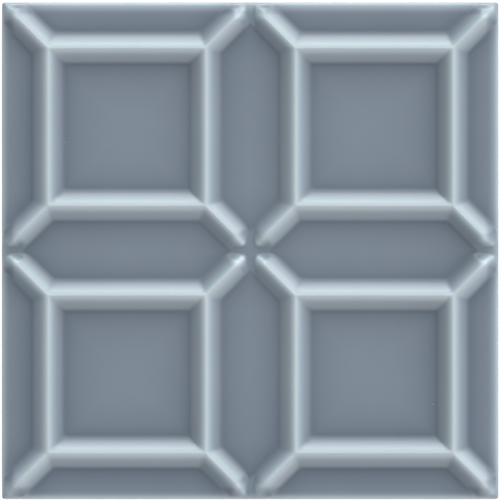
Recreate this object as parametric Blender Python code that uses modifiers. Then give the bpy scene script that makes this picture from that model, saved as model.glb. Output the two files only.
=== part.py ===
"""Square relief wall tile: one pressed and fired ceramic solid, lying glazed face up.

The face holds four equal square cells. In each cell a square ring of raised moulding
stands on the flat field, and four more lengths of the same moulding run diagonally from
the ring's corners to the cell's corners, where they end in hips. The outer edges of the
face are rounded, and the back has a grid of shallow recesses that key into the adhesive.
The origin is the middle of the back, and the face looks along +Z.
"""

import math

import bmesh
import bpy
from mathutils import Matrix, Vector

MM = 0.001

# Body
TILE_SIDE = 148.0 * MM
FIELD_THICKNESS = 7.8 * MM  # from the back's lands to the flat field of the face
FACE_EDGE_RADIUS = 1.5 * MM
CORNER_RADIUS = 0.8 * MM  # the four upright edges
BACK_EDGE_RADIUS = 0.6 * MM
EDGE_SEGMENTS = 5

# Moulding section, the same all over the face: narrow crest, swelling flanks, long hollow feet
CREST_HEIGHT = 3.2 * MM  # over the field
CREST_HALF_FLAT = 0.15 * MM
CREST_SLOPE = 0.21  # slope of a flank right beside the crest
SWELL = 0.2 / MM  # half of what a flank's slope gains for each metre away from the crest
SWELL_RUN = 1.6 * MM  # a flank gains slope over this run, and is then straight
FOOT_RISE = 1.45 * MM  # the foot's hollow curve starts at this height and ends level
FOOT_SINK = 0.05 * MM  # the foot's curve ends this much below the field
SWELL_SEGMENTS = 4
FOOT_SEGMENTS = 6
ROOT_DEPTH = 1.0 * MM  # how far the moulding reaches down into the body

# Layout of the face
CELL_PITCH = 73.5 * MM
RING_HALF = 23.45 * MM  # cell centre to the crest of its ring
CHANNEL_HALF_WIDTH = 1.25 * MM  # cell edge to the foot of a diagonal's end
END_RUN = 1.8 * MM  # horizontal run of the hip that ends a diagonal
DIAGONAL_OVERLAP = 0.3 * MM  # how far a diagonal reaches in past its ring's crest
DIAGONAL_DROP = 0.05 * MM  # a diagonal's crest lies this much below its ring's crest

# Keying grid of the back
RECESSES_EACH_WAY = 6
RECESS_PITCH = 23.2 * MM
RECESS_SIDE = 19.2 * MM
RECESS_DEPTH = 0.9 * MM
RECESS_DRAFT = 0.5 * MM  # how much smaller each side of a recess's floor is

CUTTER_MARGIN = 1.0 * MM
WELD_DISTANCE = 0.001 * MM
SHARP_ANGLE = math.radians(20)

GLAZE_COLOUR = (0.18, 0.22, 0.27, 1.0)
GLAZE_ROUGHNESS = 0.2


def clear_scene():
    for obj in list(bpy.data.objects):
        bpy.data.objects.remove(obj)


def new_collection(name, helper=False):
    collection = bpy.data.collections.new(name)
    bpy.context.scene.collection.children.link(collection)
    collection.hide_render = helper
    return collection


def mark_as_helper(obj):
    obj.hide_render = True
    obj.display_type = "WIRE"


def mesh_object(name, bm, collection):
    mesh = bpy.data.meshes.new(name)
    bm.to_mesh(mesh)
    bm.free()
    obj = bpy.data.objects.new(name, mesh)
    collection.objects.link(obj)
    return obj


def evaluated_mesh(obj):
    """A new mesh with the shape that the object has after its modifiers."""
    bpy.context.view_layer.update()
    graph = bpy.context.evaluated_depsgraph_get()
    return bpy.data.meshes.new_from_object(obj.evaluated_get(graph))


def add_boolean(obj, operation, operand):
    modifier = obj.modifiers.new(operation.lower(), "BOOLEAN")
    modifier.operation = operation
    modifier.solver = "EXACT"
    if isinstance(operand, bpy.types.Collection):
        modifier.operand_type = "COLLECTION"
        modifier.collection = operand
    else:
        modifier.object = operand


def flank_height(offset):
    """Height of a flank over the end of its foot, as if it ran on straight with no foot."""
    run = max(offset - CREST_HALF_FLAT, 0)
    swell = SWELL * (run**2 - max(run - SWELL_RUN, 0) ** 2)
    return CREST_HEIGHT + FOOT_SINK - CREST_SLOPE * run - swell


def with_foot(height):
    """The flank's height with the hollow curve that leads it out level."""
    near = max(FOOT_RISE - abs(height), 0)
    return max(height, 0) + near**2 / (4 * FOOT_RISE)


def half_section():
    """The moulding's outer half as (offset from the crest line, height over the field)."""
    steepest = CREST_SLOPE + 2 * SWELL * SWELL_RUN
    swell_end = CREST_HALF_FLAT + SWELL_RUN
    foot_start = swell_end + (flank_height(swell_end) - FOOT_RISE) / steepest
    foot_run = 2 * FOOT_RISE / steepest
    offsets = [CREST_HALF_FLAT + SWELL_RUN * i / SWELL_SEGMENTS for i in range(SWELL_SEGMENTS + 1)]
    offsets += [foot_start + foot_run * i / FOOT_SEGMENTS for i in range(FOOT_SEGMENTS + 1)]
    points = [(offset, with_foot(flank_height(offset)) - FOOT_SINK) for offset in offsets]
    points.append((offsets[-1], -ROOT_DEPTH))
    return points


def full_section():
    """The whole section, from the inner root over the crest to the outer root."""
    outer = half_section()
    inner = [(-offset, height) for offset, height in reversed(outer)]
    return inner + outer


def ring_moulding(collection):
    """A square ring with mitred corners: its mitre section turned in four steps."""
    bm = bmesh.new()
    verts = []
    for offset, height in full_section():
        place = RING_HALF + offset
        verts.append(bm.verts.new((place, place, height)))
    for start, end in zip(verts, verts[1:] + verts[:1]):
        bm.edges.new((start, end))
    ring = mesh_object("ring_moulding", bm, collection)
    screw = ring.modifiers.new("four_sides", "SCREW")
    screw.angle = math.tau
    screw.steps = 4
    screw.render_steps = 4
    screw.use_merge_vertices = True
    screw.merge_threshold = WELD_DISTANCE
    mark_as_helper(ring)
    return ring


def moulding_length(name, length, collection):
    """A straight length of moulding along its local Z, with its heights along local Y."""
    curve = bpy.data.curves.new(name, "CURVE")
    curve.dimensions = "2D"
    curve.fill_mode = "BOTH"
    curve.extrude = length / 2
    section = full_section()
    spline = curve.splines.new("POLY")
    spline.points.add(len(section) - 1)
    for point, (offset, height) in zip(spline.points, section):
        point.co = (offset, height, 0, 1)
    spline.use_cyclic_u = True
    outline = bpy.data.objects.new(name + "_outline", curve)
    collection.objects.link(outline)
    bm = bmesh.new()
    bm.from_mesh(evaluated_mesh(outline))
    bpy.data.objects.remove(outline)
    bmesh.ops.remove_doubles(bm, verts=bm.verts, dist=WELD_DISTANCE)
    bmesh.ops.recalc_face_normals(bm, faces=bm.faces)
    return mesh_object(name, bm, collection)


def diagonal_moulding(index, collection):
    """One diagonal, from its ring's corner out past the corner of the cell."""
    start = math.sqrt(2) * RING_HALF - DIAGONAL_OVERLAP
    end = math.sqrt(2) * CELL_PITCH / 2 + CUTTER_MARGIN
    diagonal = moulding_length(f"diagonal_moulding_{index}", end - start, collection)
    heading = math.radians(45 + 90 * index)
    along = Vector((math.cos(heading), math.sin(heading), 0))
    up = Vector((0, 0, 1))
    across = up.cross(along)
    turn = Matrix((across, up, along)).transposed().to_4x4()
    middle = along * (start + end) / 2 - up * DIAGONAL_DROP
    diagonal.data.transform(Matrix.Translation(middle) @ turn)
    mark_as_helper(diagonal)
    return diagonal


def cell_block(collection):
    """The tapered block that a cell's mouldings are trimmed to, which makes their end hips."""
    bottom, top = -ROOT_DEPTH - CUTTER_MARGIN, CREST_HEIGHT + CUTTER_MARGIN
    half_at_field = CELL_PITCH / 2 - CHANNEL_HALF_WIDTH
    taper = END_RUN / CREST_HEIGHT
    bm = bmesh.new()
    bmesh.ops.create_cone(
        bm,
        cap_ends=True,
        segments=4,
        radius1=math.sqrt(2) * (half_at_field - bottom * taper),
        radius2=math.sqrt(2) * (half_at_field - top * taper),
        depth=top - bottom,
        matrix=Matrix.Translation((0, 0, (top + bottom) / 2)) @ Matrix.Rotation(math.radians(45), 4, "Z"),
    )
    block = mesh_object("cell_block", bm, collection)
    mark_as_helper(block)
    return block


def relief_cells(helpers, relief):
    """Four copies of a cell's trimmed mouldings, in place on the field."""
    ring = ring_moulding(helpers)
    for index in range(4):
        add_boolean(ring, "UNION", diagonal_moulding(index, helpers))
    add_boolean(ring, "INTERSECT", cell_block(helpers))
    cell_mesh = evaluated_mesh(ring)
    for row in (-1, 1):
        for column in (-1, 1):
            cell = bpy.data.objects.new(f"relief_cell_{column:+d}{row:+d}", cell_mesh)
            cell.location = (column * CELL_PITCH / 2, row * CELL_PITCH / 2, FIELD_THICKNESS)
            relief.objects.link(cell)
            mark_as_helper(cell)


def tile_body(collection):
    """The plain body: a square slab with rounded edges, its back at z = 0."""
    bm = bmesh.new()
    bmesh.ops.create_cube(bm, size=1.0)
    size = Matrix.Diagonal((TILE_SIDE, TILE_SIDE, FIELD_THICKNESS, 1.0))
    bm.transform(Matrix.Translation((0, 0, FIELD_THICKNESS / 2)) @ size)
    weights = bm.edges.layers.float.new("bevel_weight_edge")
    for edge in bm.edges:
        heights = {round(vert.co.z / FIELD_THICKNESS) for vert in edge.verts}
        if heights == {1}:
            radius = FACE_EDGE_RADIUS
        elif heights == {0}:
            radius = BACK_EDGE_RADIUS
        else:
            radius = CORNER_RADIUS
        edge[weights] = radius / FACE_EDGE_RADIUS
    body = mesh_object("relief_tile", bm, collection)
    bevel = body.modifiers.new("rounded_edges", "BEVEL")
    bevel.width = FACE_EDGE_RADIUS
    bevel.segments = EDGE_SEGMENTS
    bevel.limit_method = "WEIGHT"
    return body


def back_recesses(collection):
    """The cutter of the back: square recesses in rows, each a little smaller at its floor."""
    bm = bmesh.new()
    draft = RECESS_DRAFT / RECESS_DEPTH
    bmesh.ops.create_cone(
        bm,
        cap_ends=True,
        segments=4,
        radius1=math.sqrt(0.5) * (RECESS_SIDE + 2 * CUTTER_MARGIN * draft),
        radius2=math.sqrt(0.5) * (RECESS_SIDE - 2 * RECESS_DRAFT),
        depth=RECESS_DEPTH + CUTTER_MARGIN,
        matrix=Matrix.Rotation(math.radians(45), 4, "Z"),
    )
    first = -RECESS_PITCH * (RECESSES_EACH_WAY - 1) / 2
    bm.transform(Matrix.Translation((first, first, (RECESS_DEPTH - CUTTER_MARGIN) / 2)))
    recesses = mesh_object("back_recesses", bm, collection)
    for name, step in (("columns", (RECESS_PITCH, 0, 0)), ("rows", (0, RECESS_PITCH, 0))):
        array = recesses.modifiers.new(name, "ARRAY")
        array.count = RECESSES_EACH_WAY
        array.use_relative_offset = False
        array.use_constant_offset = True
        array.constant_offset_displace = step
    mark_as_helper(recesses)
    return recesses


def glaze_material():
    material = bpy.data.materials.new("blue_grey_glaze")
    material.use_nodes = True
    shader = material.node_tree.nodes["Principled BSDF"]
    shader.inputs["Base Color"].default_value = GLAZE_COLOUR
    shader.inputs["Roughness"].default_value = GLAZE_ROUGHNESS
    shader.inputs["Metallic"].default_value = 0.0
    return material


def main():
    clear_scene()
    part = new_collection("relief_tile")
    helpers = new_collection("cutters", helper=True)
    relief = new_collection("relief_cells", helper=True)
    relief_cells(helpers, relief)
    tile = tile_body(part)
    add_boolean(tile, "UNION", relief)
    add_boolean(tile, "DIFFERENCE", back_recesses(helpers))
    finished = evaluated_mesh(tile)
    tile.modifiers.clear()
    tile.data = finished
    finished.shade_smooth()
    finished.set_sharp_from_angle(angle=SHARP_ANGLE)
    finished.materials.clear()
    finished.materials.append(glaze_material())


main()
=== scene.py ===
"""Looks of the square relief wall tile: its softly pooled glaze, rolled edges and bare clay back.

One smooth mesh stands for the solid. Its face starts as a flat grid, closest together over
crests, feet and hips, and is raised by a formula for the moulding. The sides and the back are
joined on below. The glaze's colour follows how thin it runs, with painted shade on the sides and
painted light on the hips mixed in; each vertex stores this.
"""

import math
from itertools import product

import bmesh
import bpy
import numpy as np
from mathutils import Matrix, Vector, noise


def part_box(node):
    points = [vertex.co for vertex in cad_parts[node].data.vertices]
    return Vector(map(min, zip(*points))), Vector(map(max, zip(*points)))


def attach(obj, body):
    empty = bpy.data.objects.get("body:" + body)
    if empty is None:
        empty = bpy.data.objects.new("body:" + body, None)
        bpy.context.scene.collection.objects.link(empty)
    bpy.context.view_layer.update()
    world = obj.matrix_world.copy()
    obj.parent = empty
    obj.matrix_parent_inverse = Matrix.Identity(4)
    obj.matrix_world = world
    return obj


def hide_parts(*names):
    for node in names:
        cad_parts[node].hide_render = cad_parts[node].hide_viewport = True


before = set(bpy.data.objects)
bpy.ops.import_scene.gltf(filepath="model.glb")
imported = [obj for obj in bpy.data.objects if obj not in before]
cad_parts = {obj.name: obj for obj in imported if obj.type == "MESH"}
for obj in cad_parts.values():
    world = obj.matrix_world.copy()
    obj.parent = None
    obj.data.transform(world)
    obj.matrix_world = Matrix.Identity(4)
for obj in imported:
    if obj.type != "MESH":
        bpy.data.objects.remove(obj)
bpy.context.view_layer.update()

MM = 0.001
SQRT2 = math.sqrt(2)
HALF_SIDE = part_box("relief_tile")[1].x
WELD_DISTANCE = 0.003 * MM

# Body, as in the solid
FIELD_HEIGHT = 7.8 * MM  # from the back's lands to the flat field of the face
BACK_RADIUS = 0.6 * MM
CORNER_RADIUS = 0.8 * MM  # the four upright edges

# Rolled edge of the glazed face: a quarter of an ellipse, wider than deep
ROLL_WIDTH = 3.3 * MM
ROLL_DEPTH = 1.5 * MM
ROLL_STEPS = 8
SIDE_INSET = 0.02 * MM  # keeps the glazed sides inside the solid's box
GLAZED_HALF = HALF_SIDE - SIDE_INSET
SHEET_MARGIN = 0.9 * MM  # the face's grid stops this far from the side, part way down the roll
SHEET_HALF = HALF_SIDE - SHEET_MARGIN
CORNER_ZONE = 2.5 * MM  # the grid's last stretch before a corner, which bends round it

# Rings and cells, as in the solid
CELL_PITCH = 73.5 * MM
RING_HALF = 23.45 * MM  # cell centre to the crest of its ring

# Hips that end the diagonals, longer and softer than the solid's
CHANNEL_HALF_WIDTH = 0.95 * MM  # cell edge to the foot of a hip
HIP_FOOT = CELL_PITCH / 2 - CHANNEL_HALF_WIDTH  # from a cell's centre
END_RUN = 2.7 * MM  # horizontal run of a hip
OUTER_HIP_FOOT = CELL_PITCH / 2 + 0.2 * MM  # at the tile's own sides, on the rolled edge
OUTER_END_RUN = 3.7 * MM
HIP_BLEND = 0.6 * MM
HIP_ROUNDING = 0.45  # blunts the corner between the two faces of a hip

# Moulding section, softened by the glaze: a small crest, a flank that swells and then eases
RELIEF = 3.07 * MM
CREST_SLOPE = 0.21
CREST_SOFTNESS = 0.2 * MM
SWELL = 0.23 / MM  # half of what the slope gains for each metre from the crest
SWELL_REACH = 1.5 * MM
EASE = 0.083 / MM  # half of what it loses again for each metre further down
EASE_START = 2.1 * MM
EASE_END = 4.2 * MM
FOOT_BLEND = 0.38 * MM
CORNER_BLEND = 0.7 * MM  # of a ring's four corners
MITRE_BLEND = 0.22 * MM  # where a diagonal meets its ring
DIAGONAL_DROP = 0.1 * MM  # a diagonal's crest lies this much below its ring's crest
INNER_DROP = 3.0  # how steeply a diagonal's nose falls inside its ring

# Where the face's grid is closer, measured from a crest line
FINE_CREST = 1.0 * MM
FOOT_START = 3.6 * MM
FOOT_END = 5.6 * MM
HIP_LEAD = 0.8 * MM  # how far before a hip the finer grid starts

# Unevenness of the fired face
WAVE_HEIGHT = 0.035 * MM
WAVE_LENGTH = 14 * MM
RIPPLE_HEIGHT = 0.01 * MM
RIPPLE_LENGTH = 4 * MM
RIPPLE_SLICE = 5 * MM  # ripples come from another slice of the noise than waves

# Glaze's lower end on the sides, and the bare foot below it
GLAZE_LINE = 2.6 * MM
GLAZE_LINE_WANDER = 0.55 * MM
GLAZE_LINE_LENGTH = 17 * MM
GLAZE_LINE_FINE_LENGTH = 5 * MM
GLAZE_LINE_FINE_SHARE = 0.35
GLAZE_LINE_SLICE = Vector((3, 7, 1))
GLAZE_STEP = 0.12 * MM  # the glaze stands this far out from the bare clay
RIM_DROP = 0.14 * MM  # from the glaze line to the lower end of its rim
GLAZE_RIM = (  # how far the rim is inset, and how far below the glaze line
    (GLAZE_STEP * 0.3, 0),
    (GLAZE_STEP * 0.85, 0.08 * MM),
    (GLAZE_STEP, RIM_DROP),
)
GLAZED_SIDE_LOOPS = (0.35, 0.7, 0.9)  # shares of the way down to the glaze line
BARE_SIDE_LOOPS = (0.5, 1.0)  # shares of the way down to the rounded lower edge
BACK_EDGE_STEPS = 4
FOOT_CORNER_LOSS = 0.6  # share of the corner radius that is lost round the lower edge

# Keying grid of the back, as in the solid
RECESSES_EACH_WAY = 6
RECESS_PITCH = 23.2 * MM
RECESS_SIDE = 19.2 * MM
RECESS_DEPTH = 0.9 * MM
RECESS_DRAFT = 0.5 * MM
FIRST_RECESS = -RECESS_PITCH * (RECESSES_EACH_WAY - 1) / 2
RECESS_WALL_PLACES = (0, 0.25, 0.6, 1)  # grid lines on a recess's wall, as shares of its draft
BACK_BORDER = 0.8 * MM  # from the outermost recesses to the back's outer grid line

# Thinness of the glaze, from 0 to 1: pooled in the feet, thin on crests and outer edges; it also
# carries painted light on the hips and painted shade on the sides
FIELD_THINNESS = 0.335
POOL_THINNESS = 0.14
POOL_LEVEL = -0.1  # level of the moulding's form, in mm, where the glaze pools deepest
POOL_REACH = 2.0  # how slowly, in mm of that level, the pool thins out over the field
FLANK_THINNING = 0.16  # for each mm of that level
MOULDING_FADE = 0.5  # mm of that level over which the moulding's own changes come in
CREST_THINNING = 0.25
CREST_DEPTH = 0.54  # mm below the crest where 37% of its thinning is left
# Glaze darker towards the tile's sides
MARGIN_DARKENING = 0.09  # towards the tile's sides, growing between these distances from its middle
MARGIN_START = 35 * MM
MARGIN_END = 68 * MM
# Lighter glaze on the hips: partly thinner glaze, partly painted light on their faces
HIP_THINNING_AND_PAINTED_LIGHT = 0.05
OUTER_HIP_POOLING = 0.25  # on the hips at the tile's own sides
OUTER_POOL_DEEP = 0.6  # up to this share of the hip's run from its foot it is at its deepest
OUTER_POOL_END = 1.1  # and at this share it has gone
CHANNEL_THINNESS = 0.34
HIP_GLAZE_RISE = 0.22  # the channel's glaze fades out up to this share of the relief
ARRIS_THINNING = 0.08  # along the crest lines of the diagonals
ARRIS_WIDTH = 1.0 * MM
ARRIS_FADE = 1.0 * MM  # outside its ring an arris comes in over this distance
ARRIS_END = 0.7  # share of a hip's rise where its arris ends
EDGE_THINNING = 0.7
EDGE_REACH = 1.2 * MM
EDGE_SPARING = 0.7  # share of the edge's thinning that is missing on the moulding
# Painted shade: the sides' glaze below the roll is made dark, standing in for their shade, and comes
# in over the next height
SIDE_SHADE_THINNESS = 0.1
SIDE_SHADE_FADE = 0.8 * MM

# Colour of the glaze by its thinness, which also carries painted shade and painted light, blue-grey
# where it pools
GLAZE_TONES = (
    (0.00, (0.106, 0.136, 0.175)),
    (0.30, (0.174, 0.207, 0.251)),
    (0.50, (0.232, 0.288, 0.333)),
    (0.70, (0.306, 0.365, 0.404)),
    (0.85, (0.400, 0.455, 0.494)),
    (1.00, (0.510, 0.560, 0.595)),
)
GLAZE_CLOUDING = 0.05  # range over which soft clouds in the glaze shift its thinness
GLAZE_ROUGHNESS = 0.2
GLAZE_IOR = 1.5

# Two tiny pits in the glaze, near the feet of two panels
PINHOLES = ((-54.8 * MM, 32.6 * MM), (54.6 * MM, -45.5 * MM))
PINHOLE_RADIUS = 0.5 * MM

# Colour of the bare clay, by its grain
CLAY_TONES = ((0.3, (0.52, 0.46, 0.38)), (0.7, (0.70, 0.65, 0.57)))
CLAY_ROUGHNESS = 0.85

BUMP_DISTANCE = 0.2 * MM
GLAZE_INDEX = 0
CLAY_INDEX = 1

# Floor: a lit table, white round the tile as in the photo
FLOOR_REACH = 3.0  # metres from its middle to each side
FLOOR_TONE = (0.9, 0.9, 0.9, 1)
FLOOR_ROUGHNESS = 0.9
FLOOR_GLOW = 0.4

# Compass directions of the light, in degrees from +X, named by the photo's sides
TOP = 90
TOP_RIGHT = 45
RIGHT = 0
LOW_RIGHT = -45
BOTTOM = -90
LOW_LEFT = -135
LEFT = 180
TOP_LEFT = 135

# Elevations of the light
GRAZING = 8
SLANTING = 28
STEEP = 55

# Broad soft glows, each with its direction, elevation and strength
GLOW_TIGHTNESS = 12.0
KEY_TINT = (0.96, 1.0, 1.0)
KEY_GLOWS = (
    (TOP, GRAZING, 6.5),
    (TOP_RIGHT, GRAZING, 5.3),
    (TOP, STEEP, 1.6),
    (TOP_RIGHT, STEEP, 1.6),
)
FILL_TINT = (1.0, 1.0, 1.0)
FILL_GLOWS = (
    (RIGHT, SLANTING, 0.8),
    (LOW_RIGHT, SLANTING, 0.8),
    (BOTTOM, SLANTING, 1.55),
    (LOW_LEFT, SLANTING, 0.8),
    (LEFT, SLANTING, 0.8),
    (BOTTOM, GRAZING, 0.9),
    (LOW_RIGHT, GRAZING, 2.6),
    (RIGHT, GRAZING, 0.8),
    (TOP_LEFT, GRAZING, 0.8),
    (LEFT, GRAZING, 0.5),
)

# Camera: the photo's width and the tile's width in it, in pixels, and a long lens
PHOTO_WIDTH = 500
TILE_WIDTH = 497.3
CAMERA_PLACE = (-0.09 * MM, 0.18 * MM)  # puts the tile a hair low and right in the picture
LENS = 400.0  # mm, on a sensor of this width
SENSOR = 36.0
CLIP_END = 20.0


def soft_max(a, b, blend):
    """The larger of two heights, with the corner between them rounded."""
    return 0.5 * (a + b + np.sqrt((a - b) ** 2 + blend**2))


def soft_min(a, b, blend):
    """The smaller of two heights, with the corner between them rounded."""
    return 0.5 * (a + b - np.sqrt((a - b) ** 2 + blend**2))


def smooth_step(value, start, end):
    """0 up to start and 1 from end on, with a smooth rise between them."""
    share = np.clip((value - start) / (end - start), 0, 1)
    return share * share * (3 - 2 * share)


def fillet(height, reach):
    """The height where it is above the field, met by a hollow curve that starts at reach."""
    near = np.maximum(reach - np.abs(height), 0)
    return np.maximum(height, 0) + near**2 / (4 * reach)


def section(distance):
    """Height of the moulding over the field at a distance from its crest line, with no foot."""
    distance = np.abs(distance)
    crest = CREST_SLOPE * (np.sqrt(distance**2 + CREST_SOFTNESS**2) - CREST_SOFTNESS)
    swell = SWELL * (distance**2 - np.maximum(distance - SWELL_REACH, 0) ** 2)
    past_start = np.maximum(distance - EASE_START, 0)
    past_end = np.maximum(distance - EASE_END, 0)
    return RELIEF - crest - swell + EASE * (past_start**2 - past_end**2)


def cell_offsets(x, y):
    """Distances from the nearest cell's centre along x and along y."""
    return np.abs(np.abs(x) - CELL_PITCH / 2), np.abs(np.abs(y) - CELL_PITCH / 2)


def moulding_level(x, y):
    """Height of the moulding's straight-sided form over the field, below zero beyond its foot.

    This is the moulding before its ends are cut down to hips."""
    off_x, off_y = cell_offsets(x, y)
    ring = section(soft_max(off_x, off_y, CORNER_BLEND) - RING_HALF)
    nose = np.maximum(RING_HALF - np.maximum(off_x, off_y), 0) * INNER_DROP
    diagonal = section((off_x - off_y) / SQRT2) - nose - DIAGONAL_DROP
    return soft_max(ring, diagonal, MITRE_BLEND)


def hip_rise(x, y):
    """Share of the relief that the hips reach: 0 on their foot line, below 0 in the channel."""
    rises = []
    for place, offset in zip((x, y), cell_offsets(x, y)):
        outer = np.abs(place) > CELL_PITCH / 2
        foot = np.where(outer, OUTER_HIP_FOOT, HIP_FOOT)
        rises.append((foot - offset) / np.where(outer, OUTER_END_RUN, END_RUN))
    return soft_min(*rises, HIP_ROUNDING)


def arris(x, y):
    """1 along the crest lines of the diagonals outside their rings, falling off beside them."""
    off_x, off_y = cell_offsets(x, y)
    past_ring = np.clip((np.maximum(off_x, off_y) - RING_HALF) / ARRIS_FADE, 0, 1)
    before_hip = np.clip((hip_rise(x, y) - ARRIS_END) / (1 - ARRIS_END), 0, 1)
    return past_ring * before_hip * np.exp(-(((off_x - off_y) / ARRIS_WIDTH) ** 2))


def spread(*stretches):
    """Sample places: each stretch is (start, end, number of steps)."""
    places = []
    for start, end, steps in stretches:
        for i in range(steps):
            places.append(start + (end - start) * i / steps)
    places.append(stretches[-1][1])
    return places


def cell_columns():
    """Distances from a cell's centre, closest together over crests, feet and hips."""
    hip_start = HIP_FOOT - END_RUN - HIP_LEAD
    last_column = SHEET_HALF - CELL_PITCH / 2
    return spread(
        (0, RING_HALF - FOOT_END, 8),
        (RING_HALF - FOOT_END, RING_HALF - FOOT_START, 7),
        (RING_HALF - FOOT_START, RING_HALF - FINE_CREST, 6),
        (RING_HALF - FINE_CREST, RING_HALF + FINE_CREST, 10),
        (RING_HALF + FINE_CREST, RING_HALF + FOOT_START, 6),
        (RING_HALF + FOOT_START, RING_HALF + FOOT_END, 7),
        (RING_HALF + FOOT_END, hip_start, 4),
        (hip_start, last_column, 14),
        (last_column, CELL_PITCH / 2, 2),
    )


def diagonal_offsets():
    """Distances along a column from the diagonal, closest together over crest and foot."""
    crest = SQRT2 * FINE_CREST
    foot_start = SQRT2 * FOOT_START
    foot_end = SQRT2 * FOOT_END
    return spread((0, crest, 5), (crest, foot_start, 6), (foot_start, foot_end, 7))


def octant_points():
    """Columns of (x, y) over one eighth of a cell, from its diagonal to its middle line."""
    offsets = diagonal_offsets()
    flat_steps = 8
    full_from = RING_HALF - FOOT_END
    columns = []
    for x in cell_columns()[1:]:
        share = min(1.0, x / full_from)
        column = [(x, x - offset * share) for offset in offsets]
        rest = x - offsets[-1] * share
        column += [(x, rest * (1 - i / flat_steps)) for i in range(1, flat_steps + 1)]
        columns.append(column)
    return columns


def add_octant(bm, points, centre, swap, sign_x, sign_y):
    """One eighth of a cell's face as a grid, with a fan at the cell's centre."""
    flip = swap != (sign_x * sign_y < 0)

    def vertex(point):
        x, y = (point[1], point[0]) if swap else point
        return bm.verts.new((centre[0] + sign_x * x, centre[1] + sign_y * y, 0))

    def face(corners):
        bm.faces.new(corners if flip else corners[::-1])

    columns = [[vertex(point) for point in column] for column in points]
    hub = vertex((0, 0))
    for upper, lower in zip(columns[0], columns[0][1:]):
        face([hub, upper, lower])
    for left, right in zip(columns, columns[1:]):
        for i in range(len(left) - 1):
            face([left[i], right[i], right[i + 1], left[i + 1]])


def face_sheet(bm):
    """The glazed face as a flat sheet, trimmed part way down its rolled edges."""
    points = octant_points()
    signs = (-1, 1)
    for row, column, swap, sign_x, sign_y in product(signs, signs, (False, True), signs, signs):
        centre = (column * CELL_PITCH / 2, row * CELL_PITCH / 2)
        add_octant(bm, points, centre, swap, sign_x, sign_y)
    bmesh.ops.remove_doubles(bm, verts=bm.verts, dist=WELD_DISTANCE)
    for outward in (Vector((1, 0, 0)), Vector((-1, 0, 0)), Vector((0, 1, 0)), Vector((0, -1, 0))):
        bmesh.ops.bisect_plane(
            bm,
            geom=bm.verts[:] + bm.edges[:] + bm.faces[:],
            dist=WELD_DISTANCE,
            plane_co=outward * SHEET_HALF,
            plane_no=outward,
            clear_outer=True,
        )
    bmesh.ops.remove_doubles(bm, verts=bm.verts, dist=WELD_DISTANCE)


def wave(x, y):
    """Slow unevenness of the fired face, with small ripples on it."""
    slow = noise.noise(Vector((x, y, 0)) / WAVE_LENGTH)
    quick = noise.noise(Vector((x, y, RIPPLE_SLICE)) / RIPPLE_LENGTH)
    return WAVE_HEIGHT * slow + RIPPLE_HEIGHT * quick


def roll_drop(x, y):
    """How far the face has rolled down towards its edges."""
    inward = GLAZED_HALF - np.maximum(np.abs(x), np.abs(y))
    share = np.clip(1 - inward / ROLL_WIDTH, 0, 1)
    return ROLL_DEPTH * (1 - np.sqrt(1 - share**2))


def raise_relief(bm):
    """Lifts the flat sheet to the face's height: field, moulding cut by hips, and rolled edge."""
    verts = list(bm.verts)
    x = np.array([vert.co.x for vert in verts])
    y = np.array([vert.co.y for vert in verts])
    level = soft_min(moulding_level(x, y), hip_rise(x, y) * RELIEF, HIP_BLEND)
    heights = fillet(level, FOOT_BLEND) - roll_drop(x, y)
    for vert, height in zip(verts, heights):
        vert.co.z = FIELD_HEIGHT + height + wave(vert.co.x, vert.co.y)


def boundary_loop(bm):
    """The sheet's outer vertices in order, anticlockwise from the +X side's low corner."""
    loop = [vert for vert in bm.verts if vert.is_boundary]

    def turn(vert):
        return (math.atan2(vert.co.y, vert.co.x) + math.pi / 4) % math.tau

    return sorted(loop, key=turn)


def square_place(along, half, corner):
    """Where a point of the sheet's outline goes on another square with rounded corners.

    along is its distance from the middle of its side. The result is (outwards, along)."""
    straight_end = SHEET_HALF - CORNER_ZONE
    if abs(along) <= straight_end:
        return half, along
    straight = half - corner - straight_end
    path = straight + corner * math.pi / 4
    gone = path * (abs(along) - straight_end) / CORNER_ZONE
    if gone <= straight or corner == 0:
        return half, math.copysign(straight_end + gone, along)
    angle = (gone - straight) / corner
    out = half - corner + corner * math.cos(angle)
    return out, math.copysign(half - corner + corner * math.sin(angle), along)


def side_and_along(x, y):
    """Which side of the square a boundary point is on, and its distance along it."""
    if abs(x) >= abs(y):
        return (1 if x > 0 else -1), 0, y
    return 0, (1 if y > 0 else -1), x


def add_loop(bm, start, half, corner, heights):
    """The sheet's outline again, on a square of another size, with a height for each vertex."""
    loop = []
    for vert, height in zip(start, heights):
        to_x, to_y, along = side_and_along(vert.co.x, vert.co.y)
        out, moved = square_place(along, half, corner)
        x = to_x * out if to_x else moved
        y = to_y * out if to_y else moved
        loop.append(bm.verts.new((x, y, height)))
    return loop


def join_loops(bm, upper, lower, material):
    """A band of faces between two loops."""
    count = len(upper)
    for i in range(count):
        after = (i + 1) % count
        face = bm.faces.new([upper[i], lower[i], lower[after], upper[after]])
        face.material_index = material


def glaze_line(vert):
    """Height at which the glaze ends on the side, wandering as a dipped edge does."""
    place = Vector((vert.co.x, vert.co.y, 0))
    slow = noise.noise(place / GLAZE_LINE_LENGTH)
    quick = noise.noise(place / GLAZE_LINE_FINE_LENGTH + GLAZE_LINE_SLICE)
    return GLAZE_LINE + GLAZE_LINE_WANDER * (slow + GLAZE_LINE_FINE_SHARE * quick)


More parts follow.
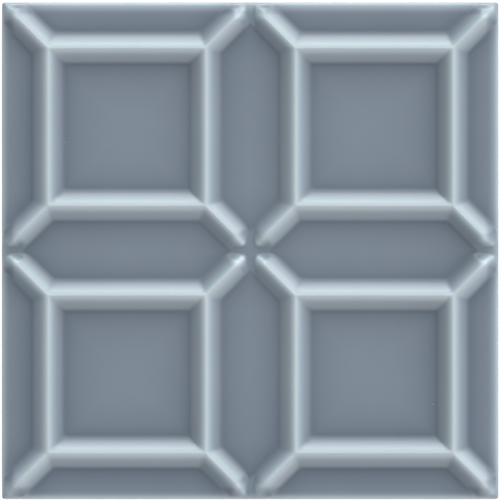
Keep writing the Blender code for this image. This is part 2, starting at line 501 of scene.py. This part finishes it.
def rolled_edge(bm, start):
    """Loops down the rest of the rolled edge, where the face's unevenness dies away."""
    first_angle = math.asin(1 - (GLAZED_HALF - SHEET_HALF) / ROLL_WIDTH)
    first_drop = ROLL_DEPTH * (1 - math.cos(first_angle))
    loops = []
    for i in range(1, ROLL_STEPS + 1):
        share = i / ROLL_STEPS
        angle = first_angle + (math.pi / 2 - first_angle) * share
        half = GLAZED_HALF - ROLL_WIDTH * (1 - math.sin(angle))
        drop = ROLL_DEPTH * (1 - math.cos(angle))
        heights = []
        for vert in start:
            uneven = vert.co.z - FIELD_HEIGHT + first_drop
            heights.append(FIELD_HEIGHT + uneven * (1 - share) - drop)
        loops.append(add_loop(bm, start, half, CORNER_RADIUS * share, heights))
    return loops


def glazed_side(bm, start):
    """Loops down the glazed side, and in over the rim where the glaze ends."""
    top = FIELD_HEIGHT - ROLL_DEPTH
    lines = [glaze_line(vert) for vert in start]
    loops = []
    for share in GLAZED_SIDE_LOOPS:
        heights = [top + (line - top) * share for line in lines]
        loops.append(add_loop(bm, start, GLAZED_HALF, CORNER_RADIUS, heights))
    for inset, drop in GLAZE_RIM:
        heights = [line - drop for line in lines]
        loops.append(add_loop(bm, start, GLAZED_HALF - inset, CORNER_RADIUS, heights))
    return loops


def bare_foot(bm, start):
    """Loops down the bare foot and round its lower edge."""
    bare_half = GLAZED_HALF - GLAZE_STEP
    rim_ends = [glaze_line(vert) - RIM_DROP for vert in start]
    loops = []
    for share in BARE_SIDE_LOOPS:
        heights = [end + (BACK_RADIUS - end) * share for end in rim_ends]
        loops.append(add_loop(bm, start, bare_half, CORNER_RADIUS, heights))
    for i in range(1, BACK_EDGE_STEPS + 1):
        angle = math.pi / 2 * i / BACK_EDGE_STEPS
        half = bare_half - BACK_RADIUS * (1 - math.cos(angle))
        corner = CORNER_RADIUS * (1 - FOOT_CORNER_LOSS * (1 - math.cos(angle)))
        height = BACK_RADIUS * (1 - math.sin(angle))
        loops.append(add_loop(bm, start, half, corner, [height] * len(start)))
    return loops


def add_sides(bm, start):
    """Rolled glazed edge, glazed side, the glaze's lower rim and the bare foot."""
    glazed = rolled_edge(bm, start) + glazed_side(bm, start)
    bare = bare_foot(bm, start)
    above = start
    for loops, material in ((glazed, GLAZE_INDEX), (bare, CLAY_INDEX)):
        for loop in loops:
            join_loops(bm, above, loop, material)
            above = loop
    return above


def recess_profile(place):
    """Depth of the back's recesses along one direction, 0 over a land."""
    nearest = round((place - FIRST_RECESS) / RECESS_PITCH)
    nearest = min(max(nearest, 0), RECESSES_EACH_WAY - 1)
    offset = abs(place - FIRST_RECESS - nearest * RECESS_PITCH)
    return RECESS_DEPTH * smooth_step((RECESS_SIDE / 2 - offset) / RECESS_DRAFT, 0, 1)


def back_places():
    """Places of the back's grid lines, the same both ways, closest together on recess walls."""
    outer = RECESS_SIDE / 2
    offsets = [outer - RECESS_DRAFT * share for share in RECESS_WALL_PLACES]
    offsets.append(offsets[-1] / 2)
    border = FIRST_RECESS - outer - BACK_BORDER
    places = [border, -border]
    for i in range(RECESSES_EACH_WAY):
        centre = FIRST_RECESS + i * RECESS_PITCH
        places.append(centre)
        for offset in offsets:
            places += [centre - offset, centre + offset]
    return sorted(places)


def add_back(bm, rim):
    """The bare back: a grid with shallow recesses, joined to the foot of the sides."""
    places = back_places()
    grid = []
    for x in places:
        column = []
        for y in places:
            depth = min(recess_profile(x), recess_profile(y))
            column.append(bm.verts.new((x, y, depth)))
        grid.append(column)
    last = len(places) - 1
    for i in range(last):
        for j in range(last):
            corners = [grid[i][j], grid[i][j + 1], grid[i + 1][j + 1], grid[i + 1][j]]
            bm.faces.new(corners).material_index = CLAY_INDEX
    edge = [grid[i][0] for i in range(last)] + [grid[last][j] for j in range(last)]
    edge += [grid[i][last] for i in range(last, 0, -1)] + [grid[0][j] for j in range(last, 0, -1)]
    border_edges = []
    for loop in (edge, rim):
        for start, end in zip(loop, loop[1:] + loop[:1]):
            border_edges.append(bm.edges.get((start, end)))
    joined = bmesh.ops.bridge_loops(bm, edges=border_edges)
    for face in joined["faces"]:
        face.material_index = CLAY_INDEX


def glaze_thinness_and_painted_light(x, y, z):
    """How thin the glaze runs at each point: near 0 in the feet, 1 on the outer edges, with painted
    light on the hips and painted shade on the sides mixed in.
    """
    moulding = moulding_level(x, y) / MM
    on_moulding = np.clip(moulding / MOULDING_FADE, 0, 1)
    outermost = np.maximum(np.abs(x), np.abs(y))
    rise = hip_rise(x, y)

    # Deepest pool at the moulding's feet, thinning up its flanks and out over the field
    level = moulding - POOL_LEVEL
    crest = CREST_THINNING * np.exp((moulding - RELIEF / MM) / CREST_DEPTH)
    rising = POOL_THINNESS + FLANK_THINNING * level + crest
    pooled = (FIELD_THINNESS - POOL_THINNESS) * np.exp(np.minimum(level, 0) / POOL_REACH)
    thin_and_painted_light = np.where(level > 0, rising, FIELD_THINNESS - pooled)
    thin_and_painted_light += ARRIS_THINNING * arris(x, y)
    thin_and_painted_light -= MARGIN_DARKENING * smooth_step(outermost, MARGIN_START, MARGIN_END) * (1 - thin_and_painted_light)

    # Hips, lighter partly from thinner glaze and partly from painted light, the pool on the outer
    # ones, and the channel between the others
    cut_down = np.clip((moulding - rise * RELIEF / MM) / MOULDING_FADE, 0, 1)
    thin_and_painted_light += HIP_THINNING_AND_PAINTED_LIGHT * on_moulding * cut_down
    outer_rise = (CELL_PITCH / 2 + OUTER_HIP_FOOT - outermost) / OUTER_END_RUN
    outer_pool = 1 - smooth_step(outer_rise, OUTER_POOL_DEEP, OUTER_POOL_END)
    thin_and_painted_light -= OUTER_HIP_POOLING * on_moulding * outer_pool
    in_channel = on_moulding * (1 - smooth_step(rise, 0, HIP_GLAZE_RISE))
    thin_and_painted_light += (CHANNEL_THINNESS - thin_and_painted_light) * in_channel

    # Rolled edge, and painted shade on the side: below the roll the glaze is made dark
    edge = np.exp(-(HALF_SIDE - outermost) / EDGE_REACH)
    thin_and_painted_light += EDGE_THINNING * edge * (1 - EDGE_SPARING * on_moulding)
    below = np.clip((FIELD_HEIGHT - ROLL_DEPTH + SIDE_SHADE_FADE - z) / SIDE_SHADE_FADE, 0, 1)
    thin_and_painted_light += (SIDE_SHADE_THINNESS - thin_and_painted_light) * below
    return np.clip(thin_and_painted_light, 0, 1)


def store_glaze(mesh):
    """Stores the glaze's thinness, with its painted shade and painted light, at each vertex, for the
    shader.
    """
    places = np.empty(len(mesh.vertices) * 3)
    mesh.vertices.foreach_get("co", places)
    x, y, z = places.reshape(-1, 3).T
    attribute = mesh.attributes.new("glaze_thin_and_painted_light", "FLOAT", "POINT")
    attribute.data.foreach_set("value", glaze_thinness_and_painted_light(x, y, z).astype(np.float32))


def node(tree, kind, **values):
    """A new node, with values for its inputs or, where it has no such input, its settings."""
    made = tree.nodes.new(kind)
    for name, value in values.items():
        if name in made.inputs:
            made.inputs[name].default_value = value
        else:
            setattr(made, name, value)
    return made


def new_material(name):
    material = bpy.data.materials.new(name)
    material.use_nodes = True
    tree = material.node_tree
    return material, tree, tree.nodes["Principled BSDF"]


def tone_ramp(tree, tones):
    """A colour ramp through the tones, each a position and a colour."""
    ramp = node(tree, "ShaderNodeValToRGB")
    stops = ramp.color_ramp.elements
    for stop, (position, colour) in zip(stops, (tones[0], tones[-1])):
        stop.position = position
        stop.color = (*colour, 1)
    for position, colour in tones[1:-1]:
        stops.new(position).color = (*colour, 1)
    return ramp


def pit_height(tree, place):
    """1 over the sound glaze, falling to 0 in the middle of each pinhole."""
    link = tree.links.new
    flat = node(tree, "ShaderNodeVectorMath", operation="MULTIPLY")
    flat.inputs[1].default_value = (1, 1, 0)
    link(place, flat.inputs[0])
    height = None
    for x, y in PINHOLES:
        apart = node(tree, "ShaderNodeVectorMath", operation="DISTANCE")
        apart.inputs[1].default_value = (x, y, 0)
        link(flat.outputs["Vector"], apart.inputs[0])
        pit = node(tree, "ShaderNodeMapRange", interpolation_type="SMOOTHSTEP")
        pit.inputs["From Max"].default_value = PINHOLE_RADIUS
        link(apart.outputs["Value"], pit.inputs["Value"])
        if height is None:
            height = pit.outputs["Result"]
        else:
            both = node(tree, "ShaderNodeMath", operation="MULTIPLY")
            link(height, both.inputs[0])
            link(pit.outputs["Result"], both.inputs[1])
            height = both.outputs[0]
    return height


def glaze_colour(tree, place):
    """The glaze's tone by its stored thinness, which carries painted shade and painted light, with
    soft clouds in it.
    """
    link = tree.links.new
    thin_and_painted_light = node(tree, "ShaderNodeAttribute", attribute_name="glaze_thin_and_painted_light")
    cloud = node(tree, "ShaderNodeTexNoise", Scale=70.0, Detail=3.0, Roughness=0.55)
    link(place, cloud.inputs["Vector"])
    shift = node(tree, "ShaderNodeMath", operation="MULTIPLY_ADD")
    shift.inputs[1].default_value = GLAZE_CLOUDING
    shift.inputs[2].default_value = -GLAZE_CLOUDING / 2
    link(cloud.outputs["Fac"], shift.inputs[0])
    total = node(tree, "ShaderNodeMath", operation="ADD")
    link(thin_and_painted_light.outputs["Fac"], total.inputs[0])
    link(shift.outputs[0], total.inputs[1])
    ramp = tone_ramp(tree, GLAZE_TONES)
    link(total.outputs[0], ramp.inputs["Fac"])
    return ramp.outputs["Color"]


def glaze_normal(tree, place):
    """The glaze's faint dimples and its pinholes."""
    link = tree.links.new
    dimple = node(tree, "ShaderNodeTexNoise", Scale=420.0, Detail=2.0)
    link(place, dimple.inputs["Vector"])
    dimpled = node(tree, "ShaderNodeBump", Strength=0.06, Distance=BUMP_DISTANCE)
    link(dimple.outputs["Fac"], dimpled.inputs["Height"])
    pitted = node(tree, "ShaderNodeBump", Strength=0.6, Distance=BUMP_DISTANCE)
    link(pit_height(tree, place), pitted.inputs["Height"])
    link(dimpled.outputs["Normal"], pitted.inputs["Normal"])
    return pitted.outputs["Normal"]


def glaze_material():
    material, tree, shader = new_material("blue_grey_glaze")
    place = node(tree, "ShaderNodeTexCoord").outputs["Object"]
    tree.links.new(glaze_colour(tree, place), shader.inputs["Base Color"])
    tree.links.new(glaze_normal(tree, place), shader.inputs["Normal"])
    shader.inputs["Roughness"].default_value = GLAZE_ROUGHNESS
    shader.inputs["IOR"].default_value = GLAZE_IOR
    return material


def clay_material():
    """Bare fired clay: its colour is half fine grain and half soft clouds, and it has a fine tooth."""
    material, tree, shader = new_material("bare_fired_clay")
    link = tree.links.new
    place = node(tree, "ShaderNodeTexCoord").outputs["Object"]
    grain = node(tree, "ShaderNodeTexNoise", Scale=900.0, Detail=4.0, Roughness=0.6)
    cloud = node(tree, "ShaderNodeTexNoise", Scale=45.0, Detail=3.0)
    link(place, grain.inputs["Vector"])
    link(place, cloud.inputs["Vector"])
    half_cloud = node(tree, "ShaderNodeMath", operation="MULTIPLY")
    half_cloud.inputs[1].default_value = 0.5
    link(cloud.outputs["Fac"], half_cloud.inputs[0])
    mixed = node(tree, "ShaderNodeMath", operation="MULTIPLY_ADD")
    mixed.inputs[1].default_value = 0.5
    link(grain.outputs["Fac"], mixed.inputs[0])
    link(half_cloud.outputs[0], mixed.inputs[2])
    ramp = tone_ramp(tree, CLAY_TONES)
    link(mixed.outputs[0], ramp.inputs["Fac"])
    link(ramp.outputs["Color"], shader.inputs["Base Color"])
    tooth = node(tree, "ShaderNodeBump", Strength=0.35, Distance=BUMP_DISTANCE)
    link(grain.outputs["Fac"], tooth.inputs["Height"])
    link(tooth.outputs["Normal"], shader.inputs["Normal"])
    shader.inputs["Roughness"].default_value = CLAY_ROUGHNESS
    return material


def build_tile():
    bm = bmesh.new()
    face_sheet(bm)
    raise_relief(bm)
    rim = add_sides(bm, boundary_loop(bm))
    add_back(bm, rim)
    bmesh.ops.recalc_face_normals(bm, faces=bm.faces)
    mesh = bpy.data.meshes.new("glazed_relief_tile")
    bm.to_mesh(mesh)
    bm.free()
    mesh.shade_smooth()
    store_glaze(mesh)
    mesh.materials.append(glaze_material())
    mesh.materials.append(clay_material())
    tile = bpy.data.objects.new("glazed_relief_tile", mesh)
    bpy.context.scene.collection.objects.link(tile)
    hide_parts("relief_tile")
    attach(tile, "root")


def build_floor():
    mesh = bpy.data.meshes.new("floor")
    bm = bmesh.new()
    bmesh.ops.create_grid(bm, x_segments=1, y_segments=1, size=FLOOR_REACH)
    bm.to_mesh(mesh)
    bm.free()
    floor = bpy.data.objects.new("floor", mesh)
    bpy.context.scene.collection.objects.link(floor)
    material, _, shader = new_material("pale_floor")
    shader.inputs["Base Color"].default_value = FLOOR_TONE
    shader.inputs["Roughness"].default_value = FLOOR_ROUGHNESS
    shader.inputs["Emission Color"].default_value = (1, 1, 1, 1)
    shader.inputs["Emission Strength"].default_value = FLOOR_GLOW
    mesh.materials.append(material)


def towards(compass, elevation):
    """The direction of a light, as a unit vector."""
    turn = math.radians(compass)
    lift = math.radians(elevation)
    return Vector((math.cos(turn) * math.cos(lift), math.sin(turn) * math.cos(lift), math.sin(lift)))


def build_light():
    """Soft studio light: a broad cool key over the photo's top and top right, and a dim fill."""
    world = bpy.data.worlds.new("studio_light")
    bpy.context.scene.world = world
    world.use_nodes = True
    tree = world.node_tree
    link = tree.links.new
    direction = node(tree, "ShaderNodeTexCoord").outputs["Generated"]
    total = None
    tinted = [(glow, KEY_TINT) for glow in KEY_GLOWS] + [(glow, FILL_TINT) for glow in FILL_GLOWS]
    for (compass, elevation, strength), tint in tinted:
        facing = node(tree, "ShaderNodeVectorMath", operation="DOT_PRODUCT")
        facing.inputs[1].default_value = towards(compass, elevation)
        link(direction, facing.inputs[0])
        ahead = node(tree, "ShaderNodeMath", operation="MAXIMUM")
        ahead.inputs[1].default_value = 0
        link(facing.outputs["Value"], ahead.inputs[0])
        lobe = node(tree, "ShaderNodeMath", operation="POWER")
        lobe.inputs[1].default_value = GLOW_TIGHTNESS
        link(ahead.outputs[0], lobe.inputs[0])
        added = node(tree, "ShaderNodeVectorMath", operation="MULTIPLY_ADD")
        added.inputs[1].default_value = Vector(tint) * strength
        link(lobe.outputs[0], added.inputs[0])
        if total is not None:
            link(total, added.inputs[2])
        total = added.outputs[0]
    link(total, tree.nodes["Background"].inputs["Color"])


def build_camera():
    """Above the tile, its picture upright, with a long lens as in a product shot."""
    picture_width = 2 * HALF_SIDE / (TILE_WIDTH / PHOTO_WIDTH)
    distance = picture_width * LENS / SENSOR
    camera_data = bpy.data.cameras.new("camera")
    camera_data.lens = LENS
    camera_data.sensor_width = SENSOR
    camera_data.clip_end = CLIP_END
    camera = bpy.data.objects.new("camera", camera_data)
    camera.location = (*CAMERA_PLACE, FIELD_HEIGHT + distance)
    bpy.context.scene.collection.objects.link(camera)
    bpy.context.scene.camera = camera


bpy.context.scene.view_settings.view_transform = "Standard"
build_tile()
build_floor()
build_light()
build_camera()

bpy.context.view_layer.update()
